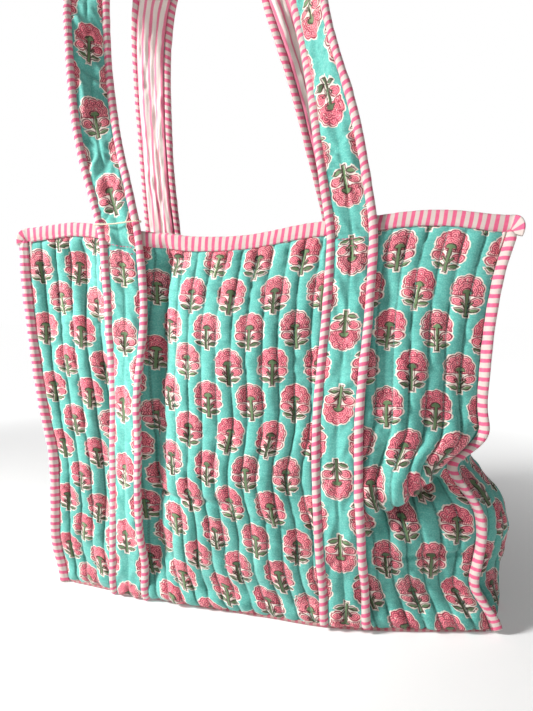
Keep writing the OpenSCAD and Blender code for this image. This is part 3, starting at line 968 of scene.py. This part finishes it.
def bindings():
    for face, facing in FACING.items():
        rim_binding("rim_tape_" + face, lambda u, v, f=face: panel_point(f, u, v), np.array([0, -facing, 0]),
                    "rim_binding_" + face, facing=facing)
    for side, word in ((-1, "left"), (1, "right")):
        rim_binding("rim_tape_" + word, lambda w, v, s=side: gusset_point(s, w * 0.96 + 0.02, v),
                    np.array([-side, 0, 0]), "rim_binding_" + word, count=90)
        for face in ("front", "back"):
            u = 0.0 if side < 0 else 1.0
            corner_binding(f"seam_tape_{face}_{word}", face, u, f"seam_binding_{face}_{word}")
    for face in ("front", "back"):
        ground_binding("base_tape_" + face, face, "base_binding_" + face)


# ---- straps and handles
def sewn_frame(face, line, z):
    """Places, and directions across and out, of a strap that is sewn to a panel, at heights z."""
    v = np.clip(z / (FOLD_Z - 1), 0, 1)
    x = along(line, v)
    rim = along(RIMS[face], x / BAG_W + 0.5)
    h = np.clip((z - GROUND_GAP) / (rim - GROUND_GAP), 0, 1)
    left, right = along(LEFT_EDGE, h), along(RIGHT_EDGE, h)

    def at(offset):
        u = (x + offset + left) / (left + right)
        return panel_point(face, u, h)

    facing = FACING[face]
    middle = (at(-12) + at(0) + at(12)) / 3
    middle[:, 2] = z
    aside = unit(at(16) - at(-16))
    rise = unit(np.gradient(middle, axis=0))
    out = unit(np.cross(aside, rise))
    out = np.where(out[:, 1:2] * facing < 0, -out, out)
    return middle, aside, out


def free_frame(face, count):
    """The same for the free handle, along its route from the left foot to the right."""
    facing = FACING[face]
    t = np.linspace(0, 1, count)
    p = along(ROUTES[face], t)
    middle = np.stack([p[:, 0], facing * p[:, 1], FOLD_Z + p[:, 2]], -1)
    way = unit(np.gradient(middle, axis=0))
    twist = np.radians(p[:, 3])[:, None]
    flat = unit(np.cross(np.array([0, 1.0, 0]), way))
    aside = flat * np.cos(twist) + np.array([0, facing, 0]) * np.sin(twist)
    aside = unit(aside - way * dot(aside, way))
    out = unit(np.cross(aside, way)) * -facing
    return middle, aside, out


def strap_frame(face):
    """The whole strap: up the left side, over the loop and down the right, as places and directions."""
    z = np.linspace(1.6, FOLD_Z - SEWN_BELOW, 150)
    left, right = STRAP_LINES[face]
    lift = 3.4 - 1.6 * hump(z - 1, 8)[:, None]
    a_mid, a_side, a_out = sewn_frame(face, left, z)
    c_mid, c_side, c_out = sewn_frame(face, right, z)
    a_mid, c_mid = a_mid + a_out * lift, c_mid + c_out * lift
    b_mid, b_side, b_out = free_frame(face, 400)
    keep = slice(8, -8)
    middle = np.concatenate([a_mid, b_mid[keep], c_mid[::-1]])
    aside = np.concatenate([a_side, b_side[keep], -c_side[::-1]])
    out = np.concatenate([a_out, b_out[keep], c_out[::-1]])
    # even spacing along the strap, and a smooth passage over the rim
    run = running_length(middle)
    even = np.arange(0, run[-1], 3.0)

    def again(values):
        values = np.stack([np.interp(even, run, values[:, k]) for k in range(3)], -1)
        padded = np.concatenate([values[:1].repeat(4, 0), values, values[-1:].repeat(4, 0)])
        return sum(padded[k:k + len(values)] for k in range(9)) / 9

    middle, aside, out = again(middle), unit(again(aside)), again(out)
    out = unit(out - aside * dot(out, aside))
    return middle, aside, out, even


def web_section(run, seams):
    """The web's (across, out) points at each place along the strap: two soft rolls beside a stitched line."""
    a = np.linspace(-WEB_HALF, WEB_HALF, 25)
    roll = np.abs(np.sin(PI * a / WEB_HALF)) ** 0.6
    drawn = run[:, None] + 0.9 * a[None] * np.tanh(3 * noise(run[:, None] / 70, 0 * a[None], 90))
    waves = 1.7 * noise(drawn / 11, a[None] / 9, 91) + 0.9 * noise(drawn / 4.6, a[None] / 7, 92)
    pinch = 0.4 * noise(run[:, None] / 4.2, 0 * a[None], 93) * (1 - roll)
    waves = waves * (1 + 0.7 * smooth((run - seams[0]) / 60) * smooth((seams[1] - run) / 60))[:, None]
    puffed = 1.9 * roll[None] * (1 + 0.2 * noise(run[:, None] / 24, a[None] / 13, 94))
    top = 0.5 + puffed + waves * roll[None] + pinch
    for place in seams:
        top = top - (2.6 * hump(run - place, 1.8) - 0.8 * hump(run - place - 6, 4))[:, None]
    # drags that run slantwise across the free legs
    first, last = seams
    drags = ((first + 40, -1.0), (first + 98, 1.2), (last - 124, 1.4), (last - 80, -0.9), (last - 46, 1.1))
    for place, slope in drags:
        off = run[:, None] - place + slope * a[None]
        top = top - roll[None] * (2.4 * hump(off, 2.2) - 0.9 * hump(off - 5.5, 3.6))
    top = np.maximum(top, -1.0)
    bottom = np.full_like(top, -1.6)
    return a, top, bottom


def beside(strap_rows, across_by, out_by):
    """A grid of points at these distances across and out from each place along a strap."""
    middle, aside, out = (values[:, None] for values in strap_rows[:3])
    return middle + aside * np.atleast_2d(across_by)[..., None] + out * out_by[..., None]


def strap_web(face, strap_rows, seams, fit):
    """The quilted web, from the foot of one side to the foot of the other."""
    run = strap_rows[3]
    a, top, bottom = web_section(run, seams)
    # the cloth is drawn long in the free legs, so the print is too
    first, last = seams
    places = [0, first, first + 250, last - 250, last - 187, last - 99, last - 27, last, run[-1]]
    drawn = [29, 29, -13, -33, -46, -69, -76, -70, -70]
    printed = np.interp(run, places, np.add(places, drawn))
    cloth = np.stack(np.broadcast_arrays(a[None] + 23.0, printed[:, None]), -1)
    outer, inner = beside(strap_rows, a, top), beside(strap_rows, a, bottom)
    web = shell(face + "_strap_web", outer, inner, cloth, STRAP_PRINT, turn=face == "front")
    fit(web, "printed_cotton", face + "_left_strap", face + "_right_strap", face + "_handle_web")
    return web, a


def strap_lining(face, strap_rows, a, fit):
    """The wrinkled striped lining under the free part of the web."""
    ends = np.flatnonzero(strap_rows[0][:, 2] > FOLD_Z - 22)
    part = slice(ends[0], ends[-1] + 1)
    free = [values[part] for values in strap_rows]
    run = free[3]
    long = run[:, None]
    wrinkle = 1.1 * noise(long / 26, a[None] / 2.6, 95) + 0.9 * noise(long / 7, a[None] / 5, 96)
    fold = 2.0 * hump(a[None] - 4 - 2 * noise(long / 50, 0 * a[None], 99), 1.6)
    soft = np.clip((WEB_HALF - np.abs(a)) / 2, 0, 1)[None]
    low = -3.6 - (1.2 * np.abs(np.sin(PI * a / WEB_HALF))[None] ** 0.7 + wrinkle - fold) * soft
    low = np.minimum(low, -2.2)
    face_in, behind = beside(free, a, low), beside(free, a, np.full_like(low, -1.7))
    cloth = np.stack(np.broadcast_arrays(a[None] + 3.5, long), -1)
    lining = shell(face + "_strap_lining", behind, face_in, cloth, LINING, turn=face == "front")
    fit(lining, "striped_lining", face + "_handle_lining")
    (run[-1] - run[0]) * MM


def strap_tapes(face, strap_rows, fit):
    """The edge bindings: each is a fat roll with a sewn lip on the web."""
    run = strap_rows[3]
    angle = np.linspace(0, 2 * PI, 17)[:-1]
    for sign, word, hand in ((-1, "outer", "left"), (1, "inner", "right")):
        wide = boxy(np.cos(angle), 0.85) * BINDING_W / 2
        high = boxy(np.sin(angle), 0.85) * 3.3
        high = high * (1 - 0.45 * hump(wide * sign + 3.2, 0.8))
        centre = sign * (WEB_W / 2 + BINDING_W / 2)
        swell = 1 + 0.06 * noise(run / 13, sign * 3, 97) + 0.04 * noise(run / 5, sign * 5, 98)
        rings = beside(strap_rows, centre + wide[None] * swell[:, None], high[None] * swell[:, None] + 0.2)
        girth = loop_length(np.stack([wide, high], -1))
        obj = sweep(f"{face}_strap_tape_{word}", rings, run, girth, STRAP_TAPE, turn=face == "back")
        fit(obj, "striped_binding", f"{face}_handle_{word}_binding", f"{face}_{hand}_strap_bindings")


def strap(face):
    """One strap from base to base: its web, lining and bindings, which pass over the fold line of its handle.
    """
    strap_rows = strap_frame(face)
    middle, run = strap_rows[0], strap_rows[3]
    reach = 11.0
    start = Vector((0, middle[0, 1] * MM, (FOLD_Z - reach) * MM))
    end = Vector((0, middle[0, 1] * MM, (FOLD_Z + reach) * MM))

    def fit(obj, slot_name, *nodes):
        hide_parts(*nodes)
        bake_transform(obj)

    sewn = middle[:, 2] < FOLD_Z - SEWN_BELOW
    changes = np.flatnonzero(np.diff(sewn.astype(int)) != 0)
    seams = (run[changes[0]] - 6, run[changes[-1]] + 6)
    web, a = strap_web(face, strap_rows, seams, fit)
    strap_lining(face, strap_rows, a, fit)
    strap_tapes(face, strap_rows, fit)
    return strap_rows


def stitch_row(points, way, out, length=2.6, radius=0.42):
    """Rounded stitches lying along way at each of the points, as rings of one closed sweep each."""
    rings = []
    for k, r in ((-0.5, 0.25), (-0.42, 0.8), (-0.2, 1), (0.2, 1), (0.42, 0.8), (0.5, 0.25)):
        ring = []
        for a in np.linspace(0, 2 * PI, 7)[:-1]:
            side = np.cross(way, out)
            bulge = radius * r
            around = side * bulge * math.cos(a) + out * bulge * (0.6 + math.sin(a))
            ring.append(points + way * k * length + around)
        rings.append(np.stack(ring, 1))
    return np.stack(rings, 1)


def anchor_stitches(face, frame_rows):
    """Two rows of stitches across the sewn ends of both straps, as one piece."""
    middle, aside, out, run = frame_rows
    places, ways, outs = [], [], []
    offsets = np.linspace(-10.8, 10.8, 7)
    for half in (0, 1):
        low = middle[:, 2] < FOLD_Z - SEWN_BELOW
        index = np.arange(len(run))
        index = index[low & ((index < len(run) / 2) == (half == 0))]
        for z in (FOLD_Z - 17, FOLD_Z - 24):
            i = index[np.argmin(np.abs(middle[index, 2] - z))]
            for offset in offsets:
                roll = abs(math.sin(PI * offset / WEB_HALF)) ** 0.6
                places.append(middle[i] + aside[i] * offset + out[i] * (0.9 + 1.9 * roll))
                ways.append(aside[i])
                outs.append(out[i])
    rings = stitch_row(np.array(places), np.array(ways), np.array(outs))
    count, n, m = rings.shape[:3]
    faces = []
    for s in range(count):
        at = np.arange(n * m).reshape(n, m) + s * n * m
        faces.append(tube_faces(at))
        for cap, order in ((at[0], 1), (at[-1], -1)):
            faces.append(np.array([cap[[0, 1, 2, 5]], cap[[2, 3, 4, 5]]])[:, ::order])
    faces = np.concatenate(faces)
    flat = rings.reshape(-1, 3)
    obj = make_object(face + "_stitches", flat, faces, flat[faces][..., [0, 2]] * MM, SEWING)
    sew(obj, "bag", "sewing_thread", face + "_anchor_stitches")


def tag_thread(frame_rows):
    """A thin cream thread tied round the foot of the front handle's left leg."""
    middle, aside, out, run = frame_rows
    i = int(np.argmin(np.abs(middle[: len(run) // 2, 2] - (FOLD_Z + 9))))
    p, s, o = middle[i], aside[i], out[i]
    up = np.cross(o, s)
    t = np.linspace(0, 2 * PI, 161)[:-1]
    wide = boxy(np.cos(t), 0.35) * (WEB_W / 2 + BINDING_W + 1.2)
    high = boxy(np.sin(t), 0.6) * 4.9
    level = FOLD_Z + 4.6 - 1.6 * np.cos(wide / 24 * 1.5) + 0.8 * np.sin(wide / 13)
    path = p + s * wide[:, None] + o * high[:, None]
    path = path + up * ((level - path[:, 2]) / up[2])[:, None]
    way = unit(np.roll(path, -1, 0) - np.roll(path, 1, 0))
    side = unit(np.cross(way, np.broadcast_to(up, way.shape)))
    top = np.cross(side, way)
    angle, radius = np.linspace(0, 2 * PI, 9)[:-1], 0.7
    ring = path[:, None] + side[:, None] * np.cos(angle)[None, :, None] * radius
    ring = ring + top[:, None] * np.sin(angle)[None, :, None] * radius
    n, m = ring.shape[:2]
    index = np.arange(n * m).reshape(n, m)
    faces = tube_faces(np.vstack([index, index[:1]]))
    lengths = loop_length(path)
    uv = np.stack([np.repeat(lengths[:-1], m), np.tile(np.arange(m) * 0.55, n)], -1)[faces] * MM
    obj = make_object("cream_tag_thread", ring.reshape(-1, 3), faces, uv, CREAM)
    sew(obj, "front_handle", "tag_thread", "tag_thread")


camera()
ground()
surroundings()
lights()
walls()
base_panel()
bindings()
front_rows = strap("front")
back_rows = strap("back")
anchor_stitches("front", front_rows)
anchor_stitches("back", back_rows)
tag_thread(front_rows)
